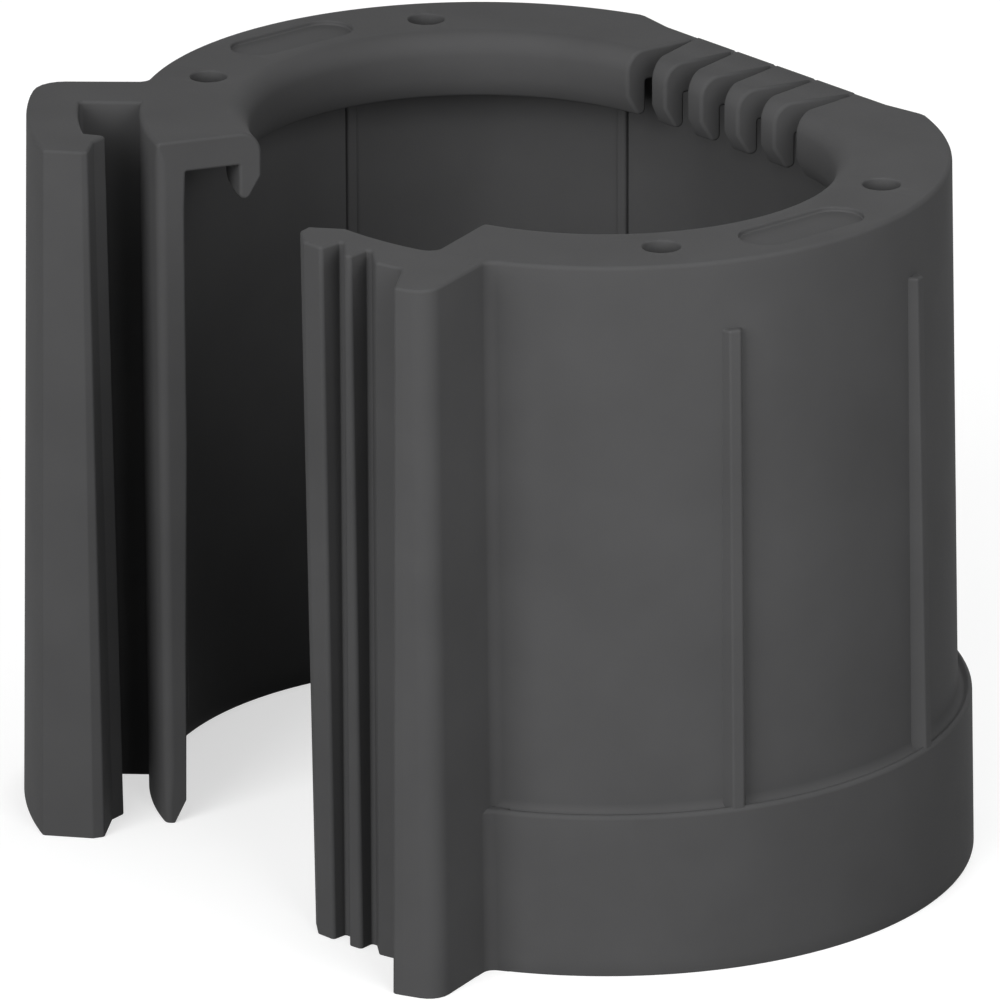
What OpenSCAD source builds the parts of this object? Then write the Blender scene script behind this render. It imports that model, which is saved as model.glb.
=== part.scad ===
// End bushing for 25 mm conduit, moulded as one piece and shown open.
// Two half rings share a thin flat hinge at the back. A toothed tongue on the right
// end snaps into the ear on the left end when the bushing is closed round a conduit.
// The frame: +Z up, base at z = 0, the middle plane at x = 0, the gap at the front (-Y).

/* [Conduit socket] */
// outside diameter of the conduit
conduit_diameter = 25; // [24.6:0.1:25.4]
// radial play between the conduit and the socket wall
socket_clearance = 0.36; // [0.3:0.02:0.46]
// radial play between the conduit and the crests of the inner ribs
rib_clearance = 0.14; // [0.1:0.02:0.16]
// length of the straight stretch of the socket wall
seat_length = 10.2; // [6:0.2:14]
// how much the socket narrows above the straight stretch, to hold the conduit's end
seat_pinch = 0.06; // [0.03:0.01:0.1]
// draft of the socket wall below the straight stretch, in degrees
socket_draft = 1.03; // [0.8:0.01:1.2]
// radial width of the lead-in at the socket's mouth
lead_width = 0.48; // [0.3:0.02:0.6]
// height of the lead-in at the socket's mouth
lead_height = 0.9; // [0.6:0.1:1.4]

/* [Half rings] */
// overall height
height = 30.3; // [28:0.5:36]
// wall thickness just under the flange
wall = 1.42; // [1.3:0.02:1.6]
// draft of the outer faces, in degrees
outer_draft = 1.15; // [0.8:0.05:1.3]
// distance of each half ring's axis from the middle plane
spread = 4.15; // [3.8:0.05:4.5]
// angle from the widest point to the end of each half ring
end_angle = 70; // [69:0.5:71]
// thickness of the top flange
flange = 1.4; // [1.2:0.1:1.8]
// rounding of the outer top edges
edge_round = 0.2; // [0.1:0.05:0.3]

/* [Lip] */
// radius of the wire opening inside the lip
mouth_radius = 9.48; // [9.2:0.05:9.8]
// thickness of the turned-down lip
lip_thickness = 0.97; // [0.85:0.02:1.1]
// how far the lip reaches below the flange
lip_drop = 1.5; // [1.3:0.1:1.6]
// rounding of the edge that the wires run over
mouth_round = 0.93; // [0.7:0.05:1.1]
// rounding of the lip's tip
lip_tip_round = 0.26; // [0.2:0.02:0.3]
// height of the upright part of the lip's inner face below the rounding
lip_upright = 1.02; // [0.8:0.05:1.2]

/* [Skirt and ribs] */
// height of the thicker band round the base
skirt_height = 7; // [5:0.5:9]
// how far the band stands out of the wall
skirt_step = 0.6; // [0.45:0.05:0.7]
// rounding of the corner between the band's ledge and the wall
skirt_root = 0.3; // [0.2:0.02:0.36]
// angle of each outer rib from the widest point
outer_rib_angle = 20; // [15:1:24]
// width of an outer rib's crest
outer_rib_width = 0.48; // [0.4:0.04:0.8]
// slope of an outer rib's flanks, in degrees
outer_rib_flank = 27; // [10:1:35]
// how far an outer rib stands out at its top end
outer_rib_height = 0.36; // [0.2:0.02:0.5]
// distance from the top face down to the outer ribs
outer_rib_drop = 2.9; // [2:0.1:4]
// number of inner ribs on each half ring
inner_rib_count = 3; // [2:1:3]
// angle of the inner rib nearest the hinge
inner_rib_start = -69.5; // [-70:0.5:-60]
// angle between the inner ribs
inner_rib_pitch = 54; // [48:1:56]
// width of an inner rib
inner_rib_width = 0.44; // [0.3:0.02:0.6]

/* [Hinge] */
// thickness of the hinge wall at the top
film = 0.35; // [0.3:0.05:0.5]
// half the length of the hinge's flat
flat_half = 6.98; // [6.8:0.05:7.2]
// slope of the flat's two ends, in degrees
flat_slope = 9; // [7:1:12]
// number of slots through the flange and lip
slot_count = 5; // [3:2:5]
// distance between slots
slot_pitch = 2.5; // [2.3:0.05:2.6]
// turn of each slot towards the middle one, in degrees per slot
slot_fan = 3.2; // [0:0.2:4]
// width of a slot at the lip
slot_mouth = 1.4; // [1.1:0.05:1.5]
// distance from a slot's tip to the hinge wall
slot_tip_gap = 0.08; // [0.06:0.02:0.3]

/* [Top face] */
// diameter of the four holes through the flange
hole_diameter = 1.56; // [1.3:0.02:1.6]
// radius of the circle that the holes lie on
hole_circle = 11.95; // [11.85:0.05:12]
// angle of each hole from the widest point
hole_angle = 30; // [28:1:34]
// length of each label recess
label_length = 6; // [4:0.2:7]
// width of each label recess
label_width = 2.3; // [1.8:0.1:2.4]
// distance from the ring's axis to the middle of the recess
label_circle = 12.12; // [12:0.04:12.4]
// depth of each label recess
label_depth = 0.2; // [0.1:0.05:0.4]

/* [Clasp] */
// radius of the outer faces of the ear and the stop
clasp_radius = 18.76; // [18.4:0.04:19.2]
// inner radius of the tongue
tongue_inner = 14.15; // [14.15:0.02:14.25]
// thickness of the tongue at the top
tongue_thickness = 2.35; // [2.2:0.05:2.45]
// angle at which the tongue ends
tongue_end = 92.8; // [92:0.2:93.4]
// depth of the notches between the teeth, at the top
tooth_depth = 1.08; // [0.8:0.04:1.2]
// angles of the upright faces of the two teeth
tooth_angles = [79.4, 84.9];
// angle taken up by the floor of a notch
notch_floor = 0.9; // [0.6:0.1:1.2]
// angle taken up by the slope of a notch
notch_slope = 3.3; // [2.8:0.1:3.6]
// play between the tongue and the outer wall of its channel
channel_clearance = 0.11; // [0.08:0.01:0.2]
// play between the tongue and the inner wall of its channel
channel_inner_clearance = 0.1; // [0.06:0.02:0.14]
// play between the tongue's end and the back of its channel
channel_end_clearance = 0.2; // [0.1:0.05:0.4]
// how far the catch stands into the channel
catch_height = 0.87; // [0.6:0.03:1]
// lean of the catch and of the toothed face, in degrees
clasp_lean = 0.7; // [0:0.1:0.9]
// thickness of the ear behind the channel
ear_back = 2.72; // [2.2:0.05:3]
// rounding of the ear's back corner
ear_round = 1.33; // [1:0.05:1.6]
// rounding of the stop's back corner
stop_round = 0.95; // [0.7:0.05:1.2]
// rounding of the left half ring's end and of the tongue's root
end_round = 0.4; // [0.25:0.05:0.45]

/* [Hidden] */
$fn = 96;
// longer than any part of the model
far = 40;
// how far blanks reach past the faces that trim them
spare = 4;
// how far added bodies reach into the wall
bite = 0.6;
// small overlap that keeps touching faces from grazing each other
proud = 0.015;
// share of a rounding's radius that its centre keeps from the faces it joins
keep = 0.93;
conduit_radius = conduit_diameter / 2;
seat_radius = conduit_radius + socket_clearance;
pinch_radius = seat_radius - seat_pinch;
rib_crest = conduit_radius + rib_clearance;
outer_top = seat_radius + wall;
under = height - flange;
tip_z = under - lip_drop;
seat_top = tip_z - lip_tip_round;
seat_bottom = seat_top - seat_length;
lip_outer = mouth_radius + lip_thickness;
draft_slope = tan(outer_draft);
flat_y = pinch_radius + film;
slot_tip = pinch_radius - slot_tip_gap;
tongue_outer = tongue_inner + tongue_thickness;
channel_inner = tongue_inner - channel_inner_clearance;
channel_outer = tongue_outer + channel_clearance;
// when closed, each half ring turns until its end lies on the middle plane, so an
// angle on one half lands at this sum less the angle on the other
closed_sum = 2 * end_angle;
channel_back = closed_sum - tongue_end - channel_end_clearance;
catch_play = 2.9;
catch_angle = closed_sum - tooth_angles[0] + catch_play;
catch_slope = 1.9;
// the channel's mouth beyond the catch: angle, and distance from the channel's outer wall
mouth_steps = [[2.1, -0.14], [7.1, 0.58], [16, 2]];
mouth_end = 24;
// the upright faces of stop and ear: angle of the normal, and distance from the ring's axis
stop_normal = end_angle + 68.3;
stop_offset = 6.21;
stop_lean = 0.25;
jog_normal = -18.8;
jog_offset = 2.7;
ear_square = 88.6;
ear_normal = channel_back - ear_square;
ear_offset = channel_outer * cos(ear_square) + ear_back;
bevel_normal = end_angle + 59.3;
bevel_offset = 8.75;
ear_end_normal = end_angle + 90;
ear_end_offset = -0.11;
// the tongue's tip: its place across the tongue, and its three faces' turns and offsets
tip_share = 0.62;
tip_turns = [-223, 31.7, 70.4];
tip_offsets = [0.42, 0.09, 0];
tip_leans = [0, -clasp_lean, -clasp_lean];
// where the skirt ends beside the hinge, the stop and the ear
skirt_back = 74;
stop_overlap = 7;
ear_overlap = 4;

// radius of the drafted outer wall, and of the socket, at a height
function outer_at(z) = outer_top + (height - z) * draft_slope;
function socket_at(z) = seat_radius + max(0, seat_bottom - z) * tan(socket_draft);
function polar(r, a) = [r * cos(a), r * sin(a)];

// centre of the rounding between an upright face and the clasp's outer face
function corner_centre(normal, offset, r) =
    let (across = offset - r)
    let (along = sqrt(pow(clasp_radius - r, 2) - across * across))
    polar(across, normal) + polar(along, normal + 90);

// section of the air outside a drafted face whose top edge is rounded
module air(offset, draft = outer_draft) {
    slope = tan(draft);
    lift = edge_round / 20;
    drop = edge_round - lift;
    centre = [offset + drop * slope - edge_round / cos(draft), height - drop];
    touch = centre + polar(edge_round, draft);
    difference() {
        polygon([
            centre,
            touch,
            [offset + (height + 1) * slope, -1],
            [offset + far, -1],
            [offset + far, height + 1],
            [centre.x, height + 1]
        ]);
        translate(centre)
            circle(edge_round);
    }
}

// the air in front of an upright face, given by the face's normal and distance
module face_cut(normal, offset, draft = outer_draft) {
    rotate([0, 0, normal])
        rotate([90, 0, 0])
            linear_extrude(2 * far, center = true)
                air(offset, draft);
}

// a plain half space beyond a leaning face, with a sharp top edge
module lean_cut(normal, offset, lean) {
    rotate([0, 0, normal])
        translate([offset, 0, height])
            rotate([0, -lean, 0])
                translate([0, -far, -2 * far])
                    cube([far, 2 * far, 3 * far]);
}

// section of a drafted block, from an inner radius out to a face
module block_section(inner, offset) {
    difference() {
        translate([inner, 0])
            square([offset + spare - inner, height]);
        air(offset);
    }
}

// an upright post that rounds the corner between two drafted faces
module corner_post(centre, r) {
    translate(centre)
        rotate_extrude()
            block_section(0, r + proud);
}

// the cell that such a corner lies in, between the two faces' normals
module corner_cell(centre, from, to) {
    translate([0, 0, -1])
        linear_extrude(height + 2)
            polygon([
                centre,
                centre + polar(1.5 * spare, from),
                centre + polar(2 * spare, (from + to) / 2),
                centre + polar(1.5 * spare, to)
            ]);
}

// section of wall, flange and turned-down lip
module ring_section() {
    tip = [lip_outer - lip_tip_round, tip_z + lip_tip_round];
    bend = [mouth_radius, height - mouth_round - lip_upright];
    gap = tip - bend;
    reach = norm(gap);
    side = sqrt(reach * reach - lip_tip_round * lip_tip_round);
    touch = bend + polar(side, atan2(gap.y, gap.x) - asin(lip_tip_round / reach));
    difference() {
        union() {
            polygon([
                [socket_at(0), 0],
                [outer_top + spare, 0],
                [outer_top + spare, height],
                [mouth_radius, height],
                bend,
                touch,
                [lip_outer, tip.y],
                [lip_outer, under],
                [pinch_radius, under],
                [seat_radius, seat_top],
                [seat_radius, seat_bottom]
            ]);
            translate(tip)
                circle(lip_tip_round);
        }
        air(outer_top);
        difference() {
            translate([mouth_radius - 1, height - mouth_round])
                square([mouth_round + 1, mouth_round + 1]);
            translate([mouth_radius + mouth_round, height - mouth_round])
                circle(mouth_round);
        }
    }
}

// section of the thicker band round the base, with a rounded corner above its ledge
module skirt_section() {
    face = outer_at(skirt_height);
    off = keep * skirt_root;
    difference() {
        translate([face - bite, 0])
            square([spare, skirt_height]);
        translate([0, skirt_height - height])
            air(face + skirt_step);
    }
    difference() {
        translate([face - bite, skirt_height - bite])
            square([bite + off, bite + off]);
        translate([face + off, skirt_height + off])
            circle(skirt_root);
    }
}

// a rib with sloping flanks, whose leaning crest meets the skirt's face at its foot
module outer_rib(angle) {
    top = height - outer_rib_drop;
    foot = skirt_height - bite;
    crest = outer_at(top) + outer_rib_height;
    foot_crest = outer_at(foot) + skirt_step - 4 * proud;
    lean = atan2(foot_crest - crest, top - foot);
    rotate([0, 0, angle])
        difference() {
            rotate([90, 0, 0])
                linear_extrude(spare, center = true)
                    polygon([
                        [outer_top - bite, foot],
                        [foot_crest, foot],
                        [crest, top],
                        [outer_top - bite, top]
                    ]);
            for (side = [-1, 1])
                translate([crest, side * outer_rib_width / 2, top])
                    rotate([0, -lean, 0])
                        rotate([0, 0, -side * outer_rib_flank])
                            translate([0, side * far / 2, 0])
                                cube([2 * far, far, 2 * far], center = true);
        }
}

// a slim rib that grips the conduit, with a sloping lower end
module inner_rib(angle) {
    root = socket_at(0) + bite / 2;
    start = lead_height + bite / 2;
    rotate([0, 0, angle])
        rotate([90, 0, 0])
            linear_extrude(inner_rib_width, center = true)
                polygon([
                    [root, start],
                    [socket_at(start) - proud, start],
                    [rib_crest, start + 3 * inner_rib_width],
                    [rib_crest, under + bite / 2],
                    [root, under + bite / 2]
                ]);
}

// the lead-in at the socket's mouth
module lead_in() {
    top = socket_at(lead_height);
    mouth = socket_at(0) + lead_width;
    rotate([0, 0, -end_angle - 1])
        rotate_extrude(angle = 2 * end_angle + 2)
            polygon([
                [top, lead_height],
                [mouth + (mouth - top) / lead_height, -1],
                [top - 2, -1],
                [top - 2, lead_height]
            ]);
}

module label_recess() {
    run = label_length - label_width;
    translate([label_circle, 0, height - label_depth])
        linear_extrude(label_depth + 1)
            union() {
                square([label_width, run], center = true);
                translate([0, run / 2])
                    circle(d = label_width);
                translate([0, -run / 2])
                    circle(d = label_width);
            }
}

// one half ring in its own frame: +X is its widest point, +Y faces the gap
module half_ring(skirt_end) {
    difference() {
        union() {
            rotate([0, 0, -90])
                rotate_extrude(angle = 90 + end_angle)
                    ring_section();
            rotate([0, 0, -skirt_back])
                rotate_extrude(angle = skirt_back + skirt_end)
                    skirt_section();
            for (side = [-1, 1])
                outer_rib(side * outer_rib_angle);
            for (i = [0 : inner_rib_count - 1])
                inner_rib(inner_rib_start + i * inner_rib_pitch);
        }
        lead_in();
        for (side = [-1, 1])
            translate(polar(hole_circle, side * hole_angle))
                translate([0, 0, under - bite / 2])
                    cylinder(h = flange + 1, d = hole_diameter);
        label_recess();
    }
}

// one notch between the teeth of the tongue
module notch(angle) {
    floor_radius = tongue_outer - tooth_depth;
    low = angle - notch_floor;
    translate([0, 0, -2])
        linear_extrude(height + 4)
            polygon([
                polar(tongue_outer + tooth_depth, angle),
                polar(floor_radius, angle),
                polar(floor_radius, low),
                polar(tongue_outer + tooth_depth, low - 2 * notch_slope)
            ]);
}

// the air outside the tongue's leaning crest, in front of the stop
module crest_cut() {
    lean = tan(clasp_lean);
    difference() {
        lean_cut(stop_normal, stop_offset, stop_lean);
        translate([0, 0, -2])
            cylinder(
                h = height + 4,
                r1 = tongue_outer - (height + 2) * lean,
                r2 = tongue_outer + 2 * lean
            );
    }
}

// the air inside the tongue, with a rounded corner at the half ring's end
module tongue_inside() {
    turn = asin(end_round / (tongue_inner - end_round));
    centre = polar(tongue_inner - end_round, end_angle + turn);
    translate([0, 0, -1])
        linear_extrude(height + 2)
            difference() {
                intersection() {
                    circle(tongue_inner);
                    polygon([
                        [0, 0],
                        polar(far, end_angle),
                        polar(far, tongue_end + 4 * spare)
                    ]);
                }
                difference() {
                    polygon([
                        centre,
                        centre + polar(2, end_angle - 90),
                        centre + polar(2, end_angle - 45),
                        centre + polar(2, end_angle + turn)
                    ]);
                    circle(tongue_inner - 2);
                    translate(centre)
                        circle(end_round);
                }
            }
}

// the stop that the ear's front meets, with the toothed tongue that stands out of it
module stop_block() {
    centre = corner_centre(jog_normal, jog_offset, stop_round);
    outward = atan2(centre.y, centre.x);
    tip = polar(tongue_inner + tip_share * tongue_thickness, tongue_end);
    from = end_angle - 4 * spare;
    difference() {
        union() {
            difference() {
                rotate([0, 0, from])
                    rotate_extrude(angle = tongue_end + spare - from)
                        block_section(outer_top - bite, clasp_radius);
                face_cut(jog_normal, jog_offset);
                corner_cell(centre, jog_normal, outward);
            }
            corner_post(centre, stop_round);
        }
        crest_cut();
        tongue_inside();
        for (i = [0 : 2])
            lean_cut(
                tongue_end + tip_turns[i],
                tip * polar(1, tongue_end + tip_turns[i]) + tip_offsets[i],
                tip_leans[i]
            );
        for (angle = tooth_angles)
            notch(angle);
    }
}

// the ear that the tongue goes into: its back corner is rounded, and its front corner bevelled
module ear_block() {
    centre = corner_centre(ear_normal, ear_offset, ear_round);
    outward = atan2(centre.y, centre.x);
    from = channel_back - 5 * spare;
    difference() {
        rotate([0, 0, from])
            rotate_extrude(angle = end_angle + 2 * spare - from)
                block_section(outer_top - bite, clasp_radius);
        face_cut(ear_normal, ear_offset);
        difference() {
            corner_cell(centre, ear_normal, outward);
            corner_post(centre, ear_round);
        }
        lean_cut(bevel_normal, bevel_offset, outer_draft);
        lean_cut(ear_end_normal, ear_end_offset, outer_draft);
    }
}

// the space for the tongue, with the catch left standing in it
module channel() {
    catch_crest = channel_outer - catch_height;
    translate([0, 0, height])
        rotate([0, 0, catch_angle])
            translate([channel_outer, 0, 0])
                rotate([0, clasp_lean, 0])
                    translate([-channel_outer, 0, -height - 2])
                        rotate([0, 0, -catch_angle])
                            linear_extrude(height + 4)
                                union() {
                                    intersection() {
                                        circle(channel_outer);
                                        polygon([
                                            polar(channel_inner - 2, channel_back),
                                            polar(far, channel_back),
                                            polar(far, channel_back + 2 * spare),
                                            polar(channel_outer + 1, catch_angle - catch_slope),
                                            polar(channel_outer, catch_angle - catch_slope),
                                            polar(catch_crest, catch_angle),
                                            polar(channel_inner - 2, catch_angle)
                                        ]);
                                    }
                                    polygon([
                                        polar(channel_inner - 2, catch_angle - 1),
                                        polar(catch_crest - 0.1, catch_angle - 1),
                                        polar(catch_crest, catch_angle),
                                        for (step = mouth_steps)
                                            polar(channel_outer + step[1], catch_angle + step[0]),
                                        polar(channel_inner - 2, catch_angle + mouth_end)
                                    ]);
                                }
}

// rounds the outer corner of the left half ring's end
module end_corner() {
    turn = asin(end_round / (channel_inner - end_round));
    centre = polar(channel_inner - end_round, end_angle - turn);
    translate([0, 0, -1])
        linear_extrude(height + 2)
            difference() {
                polygon([
                    centre,
                    centre + polar(2, end_angle - turn),
                    centre + polar(2, end_angle + 45),
                    centre + polar(2, end_angle + 90)
                ]);
                translate(centre)
                    circle(end_round);
            }
}

// the part of the left wall that is thinned beside the channel
module channel_relief() {
    translate([0, 0, -1])
        linear_extrude(height + 2)
            difference() {
                polygon([
                    [0, 0],
                    polar(far, channel_back - 1),
                    polar(far, end_angle),
                    polar(far, end_angle + 2 * spare)
                ]);
                circle(channel_inner);
            }
}

module right_half() {
    half_ring(end_angle - stop_overlap);
    stop_block();
}

module left_half() {
    difference() {
        half_ring(channel_back - ear_overlap);
        channel_relief();
        end_corner();
    }
    difference() {
        ear_block();
        channel();
    }
}

// the recess behind the hinge that leaves its wall thin
module hinge_recess() {
    run = 9;
    rise = run * tan(flat_slope);
    translate([0, 0, height])
        rotate([socket_draft * 0.65, 0, 0])
            translate([0, 0, -2 * far])
                linear_extrude(3 * far)
                    polygon([
                        [-flat_half, flat_y],
                        [flat_half, flat_y],
                        [flat_half + run, flat_y + rise],
                        [flat_half + run, far],
                        [-flat_half - run, far],
                        [-flat_half - run, flat_y + rise]
                    ]);
}

module hinge_slots() {
    depth = slot_tip - mouth_radius;
    deep = depth + 2;
    half = slot_mouth / 2 * deep / depth;
    for (i = [0 : slot_count - 1])
        let (place = i - (slot_count - 1) / 2)
            translate([place * slot_pitch, slot_tip, tip_z - 1])
                rotate([0, 0, -place * slot_fan])
                    linear_extrude(height - tip_z + 2)
                        polygon([
                            [0, 0],
                            [-half, -deep],
                            [half, -deep]
                        ]);
}

// the whole moulding
module bushing_body() {
    color([0.24, 0.24, 0.25])
        difference() {
            union() {
                translate([spread, 0, 0])
                    mirror([0, 1, 0])
                        right_half();
                translate([-spread, 0, 0])
                    rotate([0, 0, 180])
                        left_half();
                rotate([90, 0, 90])
                    translate([0, 0, -spread])
                        linear_extrude(2 * spread)
                            ring_section();
            }
            hinge_recess();
            hinge_slots();
        }
}

bushing_body();
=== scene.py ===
"""Looks of a hinged conduit end bushing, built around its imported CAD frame."""

import math

import bmesh
import bpy
import numpy as np
from mathutils import Matrix, Vector


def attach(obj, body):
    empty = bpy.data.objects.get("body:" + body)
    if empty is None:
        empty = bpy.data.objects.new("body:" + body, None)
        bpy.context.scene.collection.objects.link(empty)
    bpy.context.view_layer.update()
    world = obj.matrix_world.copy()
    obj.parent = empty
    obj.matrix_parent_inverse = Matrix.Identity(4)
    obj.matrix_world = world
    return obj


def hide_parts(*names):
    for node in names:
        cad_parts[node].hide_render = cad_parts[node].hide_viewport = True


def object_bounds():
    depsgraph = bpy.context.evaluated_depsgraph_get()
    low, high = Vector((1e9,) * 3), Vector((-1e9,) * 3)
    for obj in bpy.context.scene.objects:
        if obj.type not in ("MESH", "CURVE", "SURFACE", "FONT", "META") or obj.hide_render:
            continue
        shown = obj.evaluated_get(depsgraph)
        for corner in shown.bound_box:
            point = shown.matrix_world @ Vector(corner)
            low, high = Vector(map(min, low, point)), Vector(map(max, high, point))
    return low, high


bl_info = {
    "name": "Conduit End Bushing",
    "version": (1, 0, 0),
    "blender": (4, 5, 0),
    "location": "3D View > Sidebar > Bushing",
    "description": "Dresses a moulded conduit end bushing and lights it for a product picture",
    "category": "Object",
}

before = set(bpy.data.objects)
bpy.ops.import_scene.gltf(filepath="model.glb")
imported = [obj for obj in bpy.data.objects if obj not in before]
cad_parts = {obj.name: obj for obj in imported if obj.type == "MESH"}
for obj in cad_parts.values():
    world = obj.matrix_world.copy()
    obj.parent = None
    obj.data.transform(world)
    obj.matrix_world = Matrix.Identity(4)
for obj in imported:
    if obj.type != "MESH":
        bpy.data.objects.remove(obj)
CAD_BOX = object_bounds()
MILLIMETRE = 0.001
MERGE_DISTANCE = 1e-6
NODE = "bushing_body"
BODY = "root"

# the half rings in millimetres and degrees, as in the part's source: each has its own axis, and
# angles run from its widest point towards the gap
HEIGHT = (CAD_BOX[1].z - CAD_BOX[0].z) / MILLIMETRE
SPREAD = 4.15
END_ANGLE = 70.0
WALL_RADIUS = 14.28
WALL_SLOPE = math.tan(math.radians(1.15))
FLANGE_THICKNESS = 1.4
FLANGE_UNDER = HEIGHT - FLANGE_THICKNESS
SEAT_RADIUS = 12.86
SEAT_TOP = 27.14
SEAT_FOOT = 16.94
SEAT_SLOPE = math.tan(math.radians(1.03))
PINCH_RADIUS = 12.8
LEAD_WIDTH = 0.48
LEAD_HEIGHT = 0.9
MOUTH_RADIUS = 9.48
LIP_OUTER = 10.45
LIP_TIP = 27.4
LIP_TIP_ROUND = 0.26
LIP_UPRIGHT = 1.02
HINGE_FACE = 13.15
HINGE_SLOPE = math.tan(math.radians(0.67))
FLAT_HALF = 6.98
FLAT_RISE = math.tan(math.radians(9.0))
SLOT_TIP = 12.72
SLOT_BLUNT = 0.12
FILLET = 0.06
LEDGE_DIP = 0.15
BASE_ROUND = 0.06
BASE_ZONE = 1.0
BASE_CORNER = 0.28
END_ROUND = 0.4
END_REACH = 0.1
HOLE_CIRCLE = 11.95
HOLE_ANGLE = 30.0
LABEL_CIRCLE = 12.12

# angles between which the left ring thins to the channel's wall, its skirt ends and the socket's
# lead-in opens, and the angle where the hinge's flat is out of reach
THIN_ANGLES = (44.5, 46.6)
SKIRT_END_ANGLES = (40.0, 44.0)
LEAD_ANGLES = (-75.0, -71.0)
HINGE_SIDE = -40.0

# rows and columns of the rings' surface, closer together where it bends
SKIRT_ROWS = (0.7, 2.5, 5.0)
WALL_ROWS = (10.0, 15.0, 20.0, 25.0, 29.5)
SEAT_ROW = 8.0
RING_ANGLES = np.concatenate([
    np.arange(-81.0, -60.0, 1.0),
    np.arange(-60.0, 36.0, 2.0),
    np.arange(36.0, 68.5, 1.0),
])
FILM_ANGLES = np.arange(-74.0, -90.5, -2.0)
FILLET_POINTS = 5
FINGER_SINK = 0.25

# the ribs outside and inside: corner roundings are shares of the width
RIB_ANGLE = 20.0
RIB_TOP = HEIGHT - 2.9
RIB_TOP_ROUND = 0.12
RIB_CORNERS = (0.28, 0.26, 0.26, 0.28)
RIB_SINK = 0.3
RIB_FOOT = 0.05
GRIP_ANGLES = (-69.5, -15.5, 38.5)
GRIP_ROOTS = (13.2, 13.4)
GRIP_CREST = 12.64
GRIP_WIDTH = 0.44
GRIP_FLANK = 0.15
GRIP_FOOT = LEAD_HEIGHT + 1.4

# the clasp: a plane is given by its normal's angle and its distance from the half ring's axis
CLASP_RADIUS = 18.76
CLASP_LEAN = math.tan(math.radians(0.7))
JOG_NORMAL, JOG_OFFSET = -18.8, 2.7
STOP_NORMAL, STOP_OFFSET = 138.3, 6.21
STOP_LEAN = math.tan(math.radians(0.25))
TONGUE_INNER = 14.15
TONGUE_OUTER = 16.5
TONGUE_END = 92.8
TOOTH_ANGLES = (79.4, 84.9)
TOOTH_DEPTH = 1.08
NOTCH_FLOOR = 0.9
NOTCH_SLOPE = 3.3
TIP_RADIUS = 15.607
TIP_TURNS = (-223.0, 31.7, 70.4)
TIP_OFFSETS = (0.42, 0.09, 0.0)
CHANNEL_INNER = 14.05
CHANNEL_OUTER = 16.61
CHANNEL_BACK = 47.0
CATCH_ANGLE = 63.5
CATCH_CREST = 15.74
CATCH_SLOPE = 1.9
MOUTH_STEPS = ((2.1, -0.14), (7.1, 0.58))
MOUTH_ROUND = 0.4
EAR_NORMAL, EAR_OFFSET = -41.6, 3.126
BEVEL_NORMAL, BEVEL_OFFSET = 129.3, 8.75
EAR_END_NORMAL, EAR_END_OFFSET = 160.0, -0.11
STOP_ROUND = 0.95
STOP_FILLET = 0.5
TONGUE_FILLET = 0.6
TONGUE_SINK = 0.9
EAR_ROUND = 1.33
BEVEL_ROUND = 0.2

# shares of the clasp's rounding: at its top edges, at a notch's two inner corners, at the catch
CLASP_TOP_SHARE = 0.85
NOTCH_SHARES = (0.6, 0.4)
CATCH_SHARE = 0.6

# degrees by which corners inside the ring lie past the end of tongue, channel and hollow rounding
TONGUE_ROOT_TURNS = (0.2, 6.0)
CHANNEL_ROOT_TURN = 5.0
HOLLOW_ROOT_TURN = 2.0

# degrees from a circle's corners to its first and last point between them, how many points it
# has there, and the roundings that make it smooth
STOP_LAND, TONGUE_LAND, LAND_ROUND = 1.3, 2.4, 0.3
TONGUE_MARGINS = (2.5, 3.0)
EAR_MARGINS = (5.5, 1.5)
CHANNEL_MARGINS = (4.0, 2.0)
ARC_POINTS = 18
ARC_ROUND = 5.0

# how far a body reaches into its neighbour, how far its top stays below the flange's, the
# rounding of edges that lie inside another body, and the points along a hollow rounding
SINK = 0.5
STEP = 0.004
HIDDEN_ROUND = 0.02
ROOT_POINTS = 9

# the noise textures' middle range, the play in the roughness, and half the floor's width in metres
NOISE_RANGE = (0.3, 0.7)
ROUGHNESS_PLAY = 0.06
FLOOR_HALF = 3.0


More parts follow.
